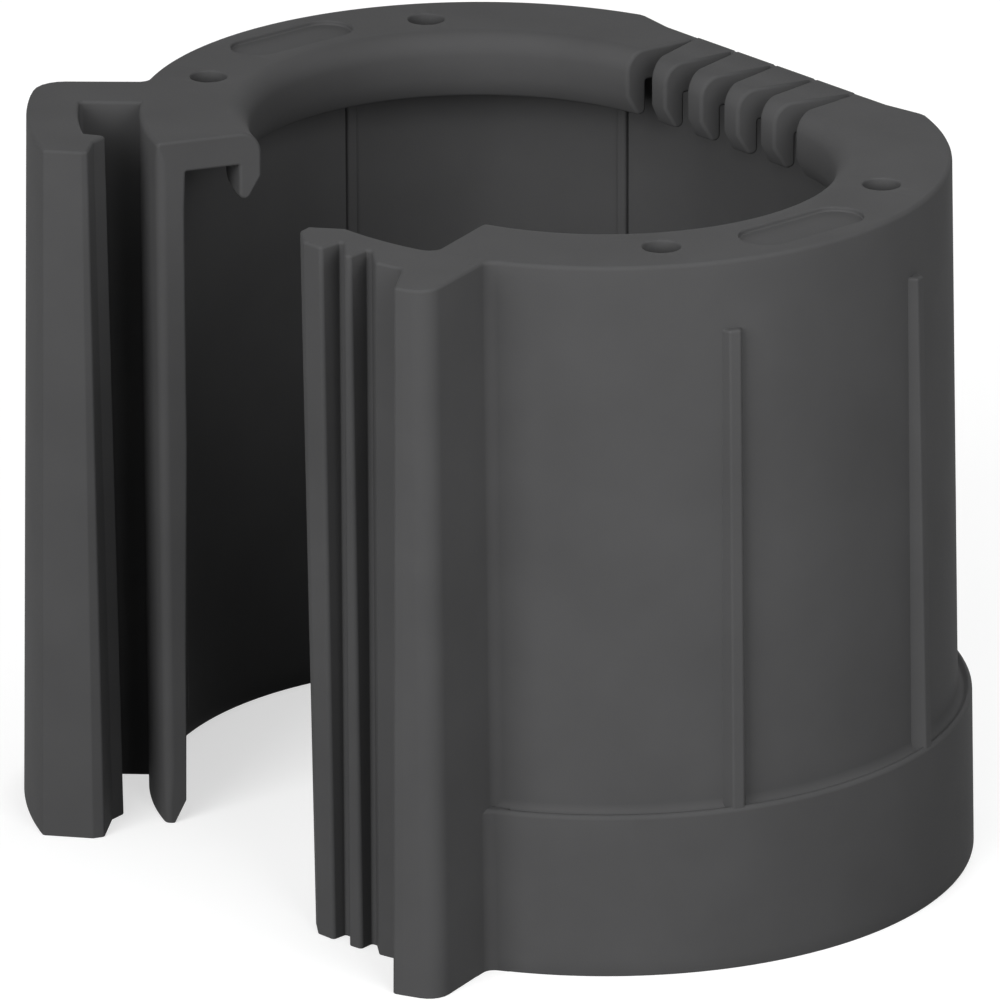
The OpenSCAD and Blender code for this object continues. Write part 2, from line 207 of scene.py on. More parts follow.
class BushingForm(bpy.types.PropertyGroup):
    """Sizes of the moulding's edges and small features."""

    edge_round: bpy.props.FloatProperty(
        name="Edge rounding",
        description="Rounding of the rings' outer top edge and of the skirt's edge",
        unit="LENGTH",
        default=0.0002,
        min=0.00005,
        precision=5,
    )
    clasp_round: bpy.props.FloatProperty(
        name="Clasp rounding",
        description="Rounding of the edges of tongue, teeth, stop and ear",
        unit="LENGTH",
        default=0.00017,
        min=0.00002,
        precision=5,
    )
    cut_round: bpy.props.FloatProperty(
        name="Cut rounding",
        description="Rounding of the edges of slots, holes, label recesses and ring ends",
        unit="LENGTH",
        default=0.00014,
        min=0.00002,
        precision=5,
    )
    mouth_round: bpy.props.FloatProperty(
        name="Mouth rounding",
        description="Rounding of the edge that the wires run over",
        unit="LENGTH",
        default=0.00093,
        min=0.0005,
        precision=5,
    )
    root_round: bpy.props.FloatProperty(
        name="Root rounding",
        description="Hollow rounding between the rings' wall and the faces of stop and ear",
        unit="LENGTH",
        default=0.0005,
        min=0.0001,
        precision=5,
    )
    skirt_height: bpy.props.FloatProperty(
        name="Skirt height",
        description="Height of the thicker band round the base",
        unit="LENGTH",
        default=0.007,
        min=0.003,
    )
    skirt_step: bpy.props.FloatProperty(
        name="Skirt step",
        description="How far the band stands out of the wall",
        unit="LENGTH",
        default=0.0006,
        min=0.0002,
        precision=5,
    )
    skirt_root: bpy.props.FloatProperty(
        name="Skirt root",
        description="Hollow rounding above the band's ledge",
        unit="LENGTH",
        default=0.0003,
        min=0.00005,
        precision=5,
    )
    rib_height: bpy.props.FloatProperty(
        name="Rib height",
        description="How far an outer rib stands out at its top end",
        unit="LENGTH",
        default=0.00036,
        min=0.0001,
        precision=5,
    )
    rib_width: bpy.props.FloatProperty(
        name="Rib width",
        description="Width of an outer rib's crest",
        unit="LENGTH",
        default=0.00048,
        min=0.0002,
        precision=5,
    )
    rib_flank: bpy.props.FloatProperty(
        name="Rib flank",
        description="Slope of an outer rib's flanks",
        subtype="ANGLE",
        unit="ROTATION",
        default=math.radians(27.0),
    )
    slot_count: bpy.props.IntProperty(
        name="Slots",
        description="Number of slots through flange and lip at the hinge",
        default=5,
        min=1,
        max=5,
    )
    slot_pitch: bpy.props.FloatProperty(
        name="Slot pitch",
        description="Distance between the slots' tips",
        unit="LENGTH",
        default=0.0025,
        min=0.002,
        precision=5,
    )
    slot_mouth: bpy.props.FloatProperty(
        name="Slot mouth",
        description="Width of a slot at the lip",
        unit="LENGTH",
        default=0.0014,
        min=0.0005,
        precision=5,
    )
    slot_fan: bpy.props.FloatProperty(
        name="Slot fan",
        description="Turn of each slot towards the middle one",
        subtype="ANGLE",
        unit="ROTATION",
        default=math.radians(3.2),
    )
    hole_diameter: bpy.props.FloatProperty(
        name="Hole diameter",
        description="Diameter of the four holes through the flange",
        unit="LENGTH",
        default=0.00156,
        min=0.0005,
        precision=5,
    )
    label_length: bpy.props.FloatProperty(
        name="Label length",
        description="Length of each bare label recess",
        unit="LENGTH",
        default=0.006,
        min=0.003,
    )
    label_width: bpy.props.FloatProperty(
        name="Label width",
        description="Width of each bare label recess",
        unit="LENGTH",
        default=0.0023,
        min=0.001,
        precision=5,
    )
    label_depth: bpy.props.FloatProperty(
        name="Label depth",
        description="Depth of each bare label recess",
        unit="LENGTH",
        default=0.0002,
        min=0.00005,
        precision=5,
    )


class BushingFinish(bpy.types.PropertyGroup):
    """Colour and surface of the moulded plastic."""

    plastic_colour: bpy.props.FloatVectorProperty(
        name="Plastic colour",
        description="Base colour of the moulding",
        subtype="COLOR",
        size=3,
        min=0.0,
        max=1.0,
        default=(0.068, 0.068, 0.069),
    )
    roughness: bpy.props.FloatProperty(
        name="Roughness",
        description="How matt the moulded surface is",
        default=0.75,
        min=0.0,
        max=1.0,
        subtype="FACTOR",
    )
    gloss: bpy.props.FloatProperty(
        name="Gloss",
        description="How much the eroded surface mirrors; 0.5 is smooth plastic",
        default=0.04,
        min=0.0,
        max=1.0,
        subtype="FACTOR",
    )
    grain_size: bpy.props.FloatProperty(
        name="Grain size",
        description="Size of the spark-eroded grain",
        unit="LENGTH",
        default=0.00007,
        min=0.00001,
        precision=6,
    )
    grain_depth: bpy.props.FloatProperty(
        name="Grain depth",
        description="Depth of the spark-eroded grain",
        unit="LENGTH",
        default=0.000004,
        min=0.0,
        precision=6,
    )
    tone_size: bpy.props.FloatProperty(
        name="Tone size",
        description="Size of the patches in which the melt's tone changes",
        unit="LENGTH",
        default=0.005,
        min=0.0005,
    )
    tone_change: bpy.props.FloatProperty(
        name="Tone change",
        description="How much the tone changes from patch to patch",
        default=0.06,
        min=0.0,
        max=0.5,
        subtype="FACTOR",
    )


class BushingStage(bpy.types.PropertyGroup):
    """Floor, lamps and camera of the product picture."""

    floor_colour: bpy.props.FloatVectorProperty(
        name="Floor colour",
        description="Colour of the floor as it is seen, before the glow is added",
        subtype="COLOR",
        size=3,
        min=0.0,
        max=1.0,
        default=(0.5, 0.5, 0.5),
    )
    floor_bounce: bpy.props.FloatVectorProperty(
        name="Floor bounce",
        description="Colour of the light that the floor throws back on the part",
        subtype="COLOR",
        size=3,
        min=0.0,
        max=1.0,
        default=(0.2, 0.2, 0.2),
    )
    floor_glow: bpy.props.FloatProperty(
        name="Floor glow",
        description="How far the seen floor is lifted towards white, so that the shadow stays light",
        default=0.6,
        min=0.0,
        max=1.0,
        subtype="FACTOR",
    )
    sky: bpy.props.FloatProperty(
        name="Sky",
        description="Strength of the soft light from all sides",
        default=0.2,
        min=0.0,
    )
    target: bpy.props.FloatVectorProperty(
        name="Target",
        description="Point that the camera looks at",
        subtype="TRANSLATION",
        unit="LENGTH",
        size=3,
        default=(0.001465, -0.003508, 0.01516),
    )
    azimuth: bpy.props.FloatProperty(
        name="Azimuth",
        description="Turn of the camera round the part, from the front towards +X",
        subtype="ANGLE",
        unit="ROTATION",
        default=math.radians(49.75),
    )
    elevation: bpy.props.FloatProperty(
        name="Elevation",
        description="Height of the camera above the horizon",
        subtype="ANGLE",
        unit="ROTATION",
        default=math.radians(20.27),
    )
    distance: bpy.props.FloatProperty(
        name="Distance",
        description="Distance from the camera to its target",
        unit="LENGTH",
        default=0.49,
        min=0.1,
    )
    frame_width: bpy.props.FloatProperty(
        name="Frame width",
        description="Width of the picture at the target",
        unit="LENGTH",
        default=1.0 / 24.0,
        min=0.01,
        precision=5,
    )
    roll: bpy.props.FloatProperty(
        name="Roll",
        description="Turn of the camera about its own axis",
        subtype="ANGLE",
        unit="ROTATION",
        default=-0.0035,
    )


def mm(length):
    """A length of a property in millimetres."""
    return length / MILLIMETRE


def polar(radius, angle):
    """Points at radii and angles in degrees: the radius times the angle's cosine and sine."""
    turn = np.radians(angle)
    return np.stack(np.broadcast_arrays(radius * np.cos(turn), radius * np.sin(turn)), axis=-1)


def plane_angle(normal, offset, radius, side):
    """Angle at which a circle meets an upright plane: the plane's normal, plus or minus the
    arc cosine of the plane's offset over the radius."""
    return normal + side * np.degrees(np.arccos(offset / radius))


def plane_corner(first_normal, first_offset, second_normal, second_offset):
    """Corner of two upright planes: the point whose products with both normals are the offsets."""
    normals = polar(1.0, np.array([first_normal, second_normal]))
    return np.linalg.solve(normals, np.array([first_offset, second_offset]))


def circle_exit(start, way, radius):
    """Point where a line leaves a circle: the larger root t of |start + t way| = radius."""
    square, product = way @ way, start @ way
    t = (-product + math.sqrt(product**2 - square * (start @ start - radius**2))) / square
    return start + t * way


def smooth_step(value, low, high):
    """Cubic step from 0 at low to 1 at high: 3 t squared less 2 t cubed."""
    t = np.clip((value - low) / (high - low), 0.0, 1.0)
    return t * t * (3.0 - 2.0 * t)


def soften(corners, radii, count=6):
    """Outline with every corner rounded by a circular arc. The arc begins and ends at the radius
    times the tangent of half the turn from the corner; it is the rational curve of second degree
    over start, corner and end, with the cosine of half the turn as its middle weight."""
    into = corners - np.roll(corners, 1, axis=0)
    out = np.roll(corners, -1, axis=0) - corners
    into /= np.linalg.norm(into, axis=1, keepdims=True)
    out /= np.linalg.norm(out, axis=1, keepdims=True)
    cosine = np.clip((into * out).sum(axis=1), -0.99, 1.0)
    reach = (np.asarray(radii) * np.sqrt((1.0 - cosine) / (1.0 + cosine)))[:, None]
    t = np.linspace(0.0, 1.0, count)[None, :, None]
    first, last = (1.0 - t) ** 2, t**2
    middle = 2.0 * t * (1.0 - t) * np.sqrt((1.0 + cosine) / 2.0)[:, None, None]
    points = first * (corners - into * reach)[:, None] + middle * corners[:, None]
    points = points + last * (corners + out * reach)[:, None]
    return (points / (first + middle + last)).reshape(-1, 2)


def grid_faces(rows, columns):
    """Quads of a grid whose columns close round: each joins a point, its neighbour in the row,
    and the two points of the next row."""
    here = np.arange((rows - 1) * columns).reshape(rows - 1, columns)
    beside = np.roll(here, -1, axis=1)
    return np.stack([here, beside, beside + columns, here + columns], axis=-1).reshape(-1, 4)


def outward(outline):
    """Normals of a closed outline, pointing out of it: the way from the point before to the point
    after, turned by a quarter towards the side that the outline's area lies away from."""
    before, after = np.roll(outline, 1, axis=0), np.roll(outline, -1, axis=0)
    along = after - before
    along /= np.maximum(np.linalg.norm(along, axis=1, keepdims=True), 1e-9)
    turn = np.sign((outline[:, 0] * after[:, 1] - outline[:, 1] * after[:, 0]).sum())
    return turn * np.stack([along[:, 1], -along[:, 0]], axis=1)


def closed_grid(points):
    """Shell over a grid of points whose rows are closed outlines: its points, the quads between
    the rows, and the first and last row as its two ends."""
    rows, count = points.shape[:2]
    here = np.arange(count)
    return points.reshape(-1, 3), grid_faces(rows, count), (here, here + (rows - 1) * count)


def loft(top, foot, z_top, z_foot, round_top, round_foot, steps=5):
    """Closed upright body between a top and a foot outline with as many points. A point at a
    height is the straight blend of both outlines. Near each end it moves in along the outline's
    normal by the rounding times 1 - cos a, while its height rises with the rounding times sin a,
    for a from 0 to 90 degrees. A rounding below zero flares out instead, and an array gives each
    point of the outline its own."""
    a = np.linspace(0.0, np.pi / 2.0, steps)[:, None]
    round_top, round_foot = (np.broadcast_to(size, len(top)) for size in (round_top, round_foot))
    inset = np.concatenate([round_foot * (1.0 - np.sin(a)), round_top * (1.0 - np.cos(a))])[..., None]
    z = np.concatenate([
        z_foot + np.abs(round_foot) * (1.0 - np.cos(a)),
        z_top - np.abs(round_top) * (1.0 - np.sin(a)),
    ])[..., None]
    share = (z - z_foot) / (z_top - z_foot)
    plan = foot * (1.0 - share) + top * share - inset * outward(top)
    return closed_grid(np.concatenate([plan, z], axis=-1))


def add_piece(name, shells):
    """One mesh object from closed shells of points in millimetres, with faces turned outwards."""
    points, quads, ends, start = [], [], [], 0
    for shell_points, shell_quads, shell_ends in shells:
        points.append(shell_points)
        quads += (shell_quads + start).tolist()
        ends += [(end + start).tolist() for end in shell_ends]
        start += len(shell_points)
    mesh = bpy.data.meshes.new(name)
    mesh.from_pydata(np.concatenate(points) * MILLIMETRE, [], quads + ends)
    tidy = bmesh.new()
    tidy.from_mesh(mesh)
    bmesh.ops.remove_doubles(tidy, verts=tidy.verts, dist=MERGE_DISTANCE)
    bmesh.ops.recalc_face_normals(tidy, faces=tidy.faces)
    tidy.to_mesh(mesh)
    tidy.free()
    piece = bpy.data.objects.new(name, mesh)
    bpy.context.scene.collection.objects.link(piece)
    return piece


def finish_piece(piece, material):
    """Smooth faces, the plastic, and the piece's place in the frame."""
    piece.data.polygons.foreach_set("use_smooth", np.ones(len(piece.data.polygons), dtype=bool))
    flatten = piece.modifiers.new("flat faces", "WEIGHTED_NORMAL")
    flatten.keep_sharp = True
    flatten.weight = 80
    piece.data.materials.clear()
    piece.data.materials.append(material)
    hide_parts(NODE)
    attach(piece, BODY)


def carve(piece, cutter):
    """The cutter's space is taken out of the piece. The cutter goes with its mesh."""
    cut = piece.modifiers.new("cut", "BOOLEAN")
    cut.operation = "DIFFERENCE"
    cut.solver = "EXACT"
    cut.object = cutter
    graph = bpy.context.evaluated_depsgraph_get()
    carved = bpy.data.meshes.new_from_object(piece.evaluated_get(graph))
    piece.modifiers.clear()
    blank = piece.data
    piece.data = carved
    bpy.data.meshes.remove(blank)
    bpy.data.meshes.remove(cutter.data)


def lip_section(form):
    """Section of flange and lip: the rounded mouth, a straight drop, the line that touches the
    lip's round tip, the lip's outside, and the flange's underside between two hollow roundings."""
    mouth = mm(form.mouth_round)
    over = np.linspace(np.pi / 2.0, np.pi, 14)
    bend = np.array([MOUTH_RADIUS, HEIGHT - mouth - LIP_UPRIGHT])
    tip = np.array([LIP_OUTER - LIP_TIP_ROUND, LIP_TIP + LIP_TIP_ROUND])
    gap = tip - bend
    touch = math.atan2(gap[1], gap[0]) - math.asin(LIP_TIP_ROUND / np.hypot(*gap)) - np.pi / 2.0
    round_tip = np.linspace(touch, 0.0, 9)
    up = np.linspace(np.pi, np.pi / 2.0, FILLET_POINTS)
    down = np.linspace(np.pi / 2.0, 0.0, FILLET_POINTS)

    def arc(radius, z, rounding, turns):
        return np.array([radius, z]) + rounding * np.stack([np.cos(turns), np.sin(turns)], axis=1)

    return np.concatenate([
        arc(MOUTH_RADIUS + mouth, HEIGHT - mouth, mouth, over),
        bend[None],
        arc(*tip, LIP_TIP_ROUND, round_tip),
        arc(LIP_OUTER + FILLET, FLANGE_UNDER - FILLET, FILLET, up),
        arc(PINCH_RADIUS - FILLET, FLANGE_UNDER - FILLET, FILLET, down),
    ])


def ring_section(form, angle, left, inside, sunk=0.0):
    """Closed section of a half ring at each angle, as radii and heights with one row per angle.
    The outer face is the drafted wall, held back to the hinge's flat and its two slopes, and on
    the left end to the channel's inner wall. Roundings are quarter circles, and the skirt's ledge
    dips towards the wall; both shrink with the skirt's step where the flat cuts into it. The inside
    is the given rows, the seat and the lead-in. All faces lie deeper by the sunk distance."""
    turn = np.radians(angle)
    skirt_top, step = mm(form.skirt_height), mm(form.skirt_step)
    edge, root = mm(form.edge_round), mm(form.skirt_root)
    thin = left * smooth_step(angle, *THIN_ANGLES)
    band = step * (1.0 - left * smooth_step(angle, *SKIRT_END_ANGLES))
    least = 0.2
    upright = np.maximum(-np.sin(turn), least)
    rise = np.maximum(upright - np.cos(turn) * FLAT_RISE, least)
    top = HEIGHT - sunk

    def hinge_face(z):
        flat = HINGE_FACE + (HEIGHT - z) * HINGE_SLOPE
        slope = (flat - (FLAT_HALF - SPREAD) * FLAT_RISE) / rise
        return np.where(angle < HINGE_SIDE, np.maximum(flat / upright, slope), 2.0 * WALL_RADIUS)

    def free_face(z):
        return (1.0 - thin) * (WALL_RADIUS + (HEIGHT - z) * WALL_SLOPE) + thin * CHANNEL_INNER

    def wall(z):
        return np.minimum(free_face(z), hinge_face(z)) - sunk

    def skirt(z):
        return np.minimum(free_face(z) + band, hinge_face(z)) - sunk

    share = (skirt(skirt_top) - wall(skirt_top)) / step
    dip = LEDGE_DIP * share
    floor = skirt_top - dip
    quarter = np.linspace(0.0, np.pi / 2.0, 6)[:, None]
    low = np.linspace(-np.pi / 2.0, 0.0, 4)[:, None]
    hollow = np.linspace(-np.pi / 2.0, -np.pi, 6)[:, None]
    base_z = sunk + BASE_ROUND * (1.0 + np.sin(low))
    skirt_z, wall_z = np.array(SKIRT_ROWS)[:, None], np.array(WALL_ROWS)[:, None]
    edge_in, edge_down = edge * (1.0 - np.cos(quarter)), edge * (1.0 - np.sin(quarter))
    hollow_out, hollow_up = root * (1.0 + np.cos(hollow)), (root + dip) * (1.0 + np.sin(hollow))
    opening = smooth_step(angle, *LEAD_ANGLES)
    seat_base = SEAT_RADIUS + SEAT_FOOT * SEAT_SLOPE + sunk
    lead_mouth = seat_base + LEAD_WIDTH * opening
    lead_top = LEAD_HEIGHT * opening + BASE_ROUND
    seat = np.array([
        [SEAT_RADIUS, SEAT_TOP],
        [SEAT_RADIUS, SEAT_FOOT],
        [SEAT_RADIUS + (SEAT_FOOT - SEAT_ROW) * SEAT_SLOPE, SEAT_ROW],
    ])
    inside = np.concatenate([inside, seat + [sunk, 0.0]])
    rows = [
        (skirt(base_z) - BASE_ROUND * (1.0 - np.cos(low)), base_z),
        (skirt(skirt_z), skirt_z),
        (skirt(skirt_top - edge) - share * edge_in, skirt_top - edge_down),
        (wall(skirt_top + root) + share * hollow_out, floor + hollow_up),
        (wall(wall_z), wall_z),
        (wall(top - edge) - edge_in, top - edge_down),
        (inside[:, :1], inside[:, 1:]),
        ((seat_base - lead_top * SEAT_SLOPE)[None], lead_top[None]),
        (lead_mouth[None], np.full((1, 1), sunk + BASE_ROUND / 2.0)),
        (lead_mouth[None] + BASE_ROUND / 2.0, np.full((1, 1), sunk)),
    ]
    radius = np.concatenate([np.broadcast_to(r, (max(len(r), len(z)), len(angle))) for r, z in rows])
    height = np.concatenate([np.broadcast_to(z, (max(len(r), len(z)), len(angle))) for r, z in rows])
    return radius.T, height.T


def slot_wall(form, place, side):
    """A slot's wall as x at the tip and slope: x falls by the slope per millimetre from the tip
    towards the mouth. A slot turns by its place times the fan, and opens by its half angle."""
    opening = math.atan2(mm(form.slot_mouth) - SLOT_BLUNT, 2.0 * (SLOT_TIP - MOUTH_RADIUS))
    slope = math.tan(place * form.slot_fan - side * opening)
    return place * mm(form.slot_pitch) + side * SLOT_BLUNT / 2.0, slope


def half_shell(form, way):
    """One half ring, from the outermost slot's wall to the end at the gap. The section is carried
    along its angle. Near both ends it moves in along its normals by the rounding times 1 - cos a,
    while it runs on by the rounding times sin a: at the gap along the arc, and at the slot towards
    the slot wall's plane. Edges inside another body are hardly rounded, and the left end's outer
    corner, beside the channel, is rounded more and only along its radius."""
    left = float(way < 0)
    lip = lip_section(form)
    a = np.linspace(0.0, np.pi / 2.0, 6)[:, None]
    soft = mm(form.cut_round)

    x, slope = slot_wall(form, (form.slot_count - 1) / 2.0, 1.0)
    normal = math.degrees(math.atan(slope))
    offset = (x - SPREAD - slope * SLOT_TIP) * math.cos(math.atan(slope))
    start = np.array([plane_angle(normal, offset, HINGE_FACE, -1)])
    first = np.stack([part[0] for part in ring_section(form, start, left, lip)], axis=1)
    joined = np.where(first[:, 1] < SEAT_TOP, HIDDEN_ROUND, soft)
    first = first - (joined * (1.0 - np.cos(a))[::-1])[..., None] * outward(first)
    first_angle = plane_angle(normal, offset + joined * (1.0 - np.sin(a))[::-1], first[..., 0], -1)

    last = np.stack([part[0] for part in ring_section(form, np.array([END_ANGLE]), left, lip)], axis=1)
    low = last[:, 1] < BASE_ZONE
    covered = (way > 0) & (last[:, 0] > TONGUE_INNER)
    corner = (way < 0) & (last[:, 0] > CHANNEL_INNER - END_REACH) & (last[:, 1] < HEIGHT - END_ROUND)
    soft = np.where(low | covered, HIDDEN_ROUND, soft)
    soft = np.where(corner, np.where(low, BASE_CORNER, END_ROUND), soft)
    inset = np.where(corner[:, None], [1.0, 0.0], outward(last))
    last = last - (soft * (1.0 - np.cos(a)))[..., None] * inset
    last_angle = END_ANGLE - np.degrees(soft * (1.0 - np.sin(a)) / last[..., 0])

    radius, z = ring_section(form, RING_ANGLES, left, lip)
    turn = np.radians(np.concatenate([
        first_angle,
        np.broadcast_to(RING_ANGLES[:, None], radius.shape),
        last_angle,
    ]))
    radius = np.concatenate([first[..., 0], radius, last[..., 0]])
    z = np.concatenate([first[..., 1], z, last[..., 1]])
    return closed_grid(np.stack([
        way * (SPREAD + radius * np.cos(turn)),
        -radius * np.sin(turn),
        z,
    ], axis=-1))


def film_shell(form):
    """The film hinge's wall, which joins both half rings and reaches a little way into them."""
    pinch = PINCH_RADIUS + STEP
    inside = np.array([[pinch, HEIGHT - STEP], [pinch, FLANGE_UNDER - FILLET]])
    radius, z = ring_section(form, FILM_ANGLES, 0.0, inside, STEP)
    turn = np.radians(FILM_ANGLES)[:, None]
    right = np.stack([SPREAD + radius * np.cos(turn), -radius * np.sin(turn), z], axis=-1)
    return closed_grid(np.concatenate([right, right[::-1] * [-1.0, 1.0, 1.0]]))


def finger_shell(form, place):
    """The flange and lip between two slots: the section, closed inside the film, carried from one
    slot's wall to the next. Near both walls it moves in along its normals by the rounding times
    1 - cos a, while it runs on by the rounding times sin a."""
    sunk = PINCH_RADIUS + FINGER_SINK
    section = lip_section(form)[:-FILLET_POINTS]
    section = np.concatenate([section, [[sunk, FLANGE_UNDER], [sunk, HEIGHT]]])
    a = np.linspace(0.0, np.pi / 2.0, 6)[:, None]
    soft = mm(form.cut_round)
    plan = section - soft * (1.0 - np.cos(a))[..., None] * outward(section)
    walls = []
    for neighbour, side in ((place, 1.0), (place + 1.0, -1.0)):
        x, slope = slot_wall(form, neighbour, side)
        x = x - slope * (SLOT_TIP - plan[..., 0]) + side * soft * (1.0 - np.sin(a))
        walls.append(np.stack([x, plan[..., 0], plan[..., 1]], axis=-1))
    return closed_grid(np.concatenate([walls[0][::-1], walls[1]]))


def finger_shells(form):
    """All fingers between the slots."""
    places = np.arange(form.slot_count - 1) - (form.slot_count - 1) / 2.0
    return [finger_shell(form, place) for place in places]


def cut_shells(form):
    """The spaces of holes and label recesses: circles, and rectangles whose corners are rounded by
    nearly half their width. Their rims flare out by a share of the cut rounding at the top face."""
    rim, nearly_half, reach = 0.6 * mm(form.cut_round), 0.49, 0.3
    circle = polar(mm(form.hole_diameter) / 2.0, np.linspace(0.0, 360.0, 49)[:-1])
    width, length = mm(form.label_width), mm(form.label_length)
    corners = np.array([[1.0, -1.0], [1.0, 1.0], [-1.0, 1.0], [-1.0, -1.0]]) * [width / 2, length / 2]
    oval = soften(corners, np.full(4, nearly_half * width), count=14)
    shells = []
    for way in (-1.0, 1.0):
        for angle in (-HOLE_ANGLE, HOLE_ANGLE):
            hole = circle + way * (polar(HOLE_CIRCLE, angle) + [SPREAD, 0.0])
            shells.append(loft(hole, hole, HEIGHT + STEP, FLANGE_UNDER - reach, -rim, HIDDEN_ROUND))
        label = oval + [way * (SPREAD + LABEL_CIRCLE), 0.0]
        shells.append(loft(label, label, HEIGHT + STEP, HEIGHT - mm(form.label_depth), -rim, rim))
    return shells


def rib_shell(way, angle, base, crest, width, flank, z_top, z_foot, round_top):
    """A rib on a half ring: a trapezium with its crest at one radius and its root at another,
    for the top and for the foot, lofted and turned to its angle. The width grows from crest to
    root by the tangent of the flank's slope. A crest within the root's radius points inwards."""
    outlines = []
    for end in (0, 1):
        half = width / 2.0
        spread = half + abs(crest[end] - base[end]) * math.tan(flank)
        corners = np.array([
            [base[end], -spread],
            [crest[end], -half],
            [crest[end], half],
            [base[end], spread],
        ])
        outline = soften(corners, np.array(RIB_CORNERS) * width)
        c, s = math.cos(math.radians(angle)), math.sin(math.radians(angle))
        turned = outline @ np.array([[c, s], [-s, c]]) + [SPREAD, 0.0]
        outlines.append(way * turned)
    return loft(*outlines, z_top, z_foot, round_top, HIDDEN_ROUND)


def rib_shells(form):
    """Outer ribs, whose leaning crest meets the skirt's face at the foot, and slim grip ribs
    inside the socket."""
    foot = mm(form.skirt_height) - SINK
    wall_top = WALL_RADIUS + (HEIGHT - RIB_TOP) * WALL_SLOPE
    wall_foot = WALL_RADIUS + (HEIGHT - foot) * WALL_SLOPE
    base = (wall_top - RIB_SINK, wall_foot - RIB_SINK)
    crest = (wall_top + mm(form.rib_height), wall_foot + mm(form.skirt_step) - RIB_FOOT)
    grip_crest = (GRIP_CREST, GRIP_CREST)
    shells = []
    for way in (-1.0, 1.0):
        for angle in (-RIB_ANGLE, RIB_ANGLE):
            shells.append(rib_shell(
                way, angle, base, crest, mm(form.rib_width), form.rib_flank,
                RIB_TOP, foot, RIB_TOP_ROUND
            ))
    for angle in GRIP_ANGLES:
        for way, turn in ((1.0, -angle), (-1.0, angle)):
            shells.append(rib_shell(
                way, turn, GRIP_ROOTS, grip_crest, GRIP_WIDTH, GRIP_FLANK,
                FLANGE_UNDER + RIB_SINK, GRIP_FOOT, HIDDEN_ROUND
            ))
    return shells


def stop_outline(form, depth):
    """Outline of stop and tongue at a depth below the top: the jog's plane, a rounded corner, the
    clasp's circle, the stop's plane, the tongue's crest circle with two notches, the tip's three
    planes and the tongue's inner circle. Planes and circles shift with the depth by their draft."""
    slide, lean = depth * WALL_SLOPE, depth * CLASP_LEAN
    clasp, crest = CLASP_RADIUS + slide, TONGUE_OUTER - lean
    jog, stop = JOG_OFFSET + slide, STOP_OFFSET + depth * STOP_LEAN
    inner = WALL_RADIUS + slide - SINK
    edge = mm(form.clasp_round)
    stop_corner = plane_angle(STOP_NORMAL, stop, clasp, -1)
    stop_foot = plane_angle(STOP_NORMAL, stop, crest, -1)
    corners = [
        polar(inner, plane_angle(JOG_NORMAL, jog, inner, 1)),
        polar(clasp, plane_angle(JOG_NORMAL, jog, clasp, 1)),
        polar(clasp, stop_corner - STOP_LAND),
        polar(clasp, stop_corner),
        polar(crest, stop_foot),
        polar(crest, stop_foot + TONGUE_LAND),
    ]
    radii = [edge, STOP_ROUND, LAND_ROUND, edge, STOP_FILLET, LAND_ROUND]
    floor = TONGUE_OUTER - TOOTH_DEPTH
    for angle in TOOTH_ANGLES:
        low = polar(floor, angle - NOTCH_FLOOR)
        high = polar(TONGUE_OUTER + TOOTH_DEPTH, angle - NOTCH_FLOOR - 2.0 * NOTCH_SLOPE)
        corners += [circle_exit(low, high - low, crest), low, polar(floor, angle), polar(crest, angle)]
        radii += [edge, *(share * edge for share in NOTCH_SHARES), edge]
    tip = polar(TIP_RADIUS, TONGUE_END)
    normals = [TONGUE_END + turn for turn in TIP_TURNS]
    leans = (0.0, lean, lean)
    offsets = [tip @ polar(1.0, n) + o - s for n, o, s in zip(normals, TIP_OFFSETS, leans)]
    inner_end = plane_angle(normals[0], offsets[0], TONGUE_INNER, -1) + 360.0
    turns = np.linspace(inner_end - TONGUE_MARGINS[0], END_ANGLE + TONGUE_MARGINS[1], ARC_POINTS)
    corners += [
        polar(crest, plane_angle(normals[1], offsets[1], crest, -1)),
        plane_corner(normals[1], offsets[1], normals[2], offsets[2]),
        plane_corner(normals[2], offsets[2], normals[0], offsets[0]),
        polar(TONGUE_INNER, inner_end),
        *polar(TONGUE_INNER, turns),
        polar(TONGUE_INNER, END_ANGLE),
        *polar(TONGUE_INNER - TONGUE_SINK, END_ANGLE - np.array(TONGUE_ROOT_TURNS)),
    ]
    radii += [edge, edge, edge, edge] + [ARC_ROUND] * ARC_POINTS + [TONGUE_FILLET, edge, edge]
    return soften(np.array(corners), np.array(radii)) * [1.0, -1.0] + [SPREAD, 0.0]


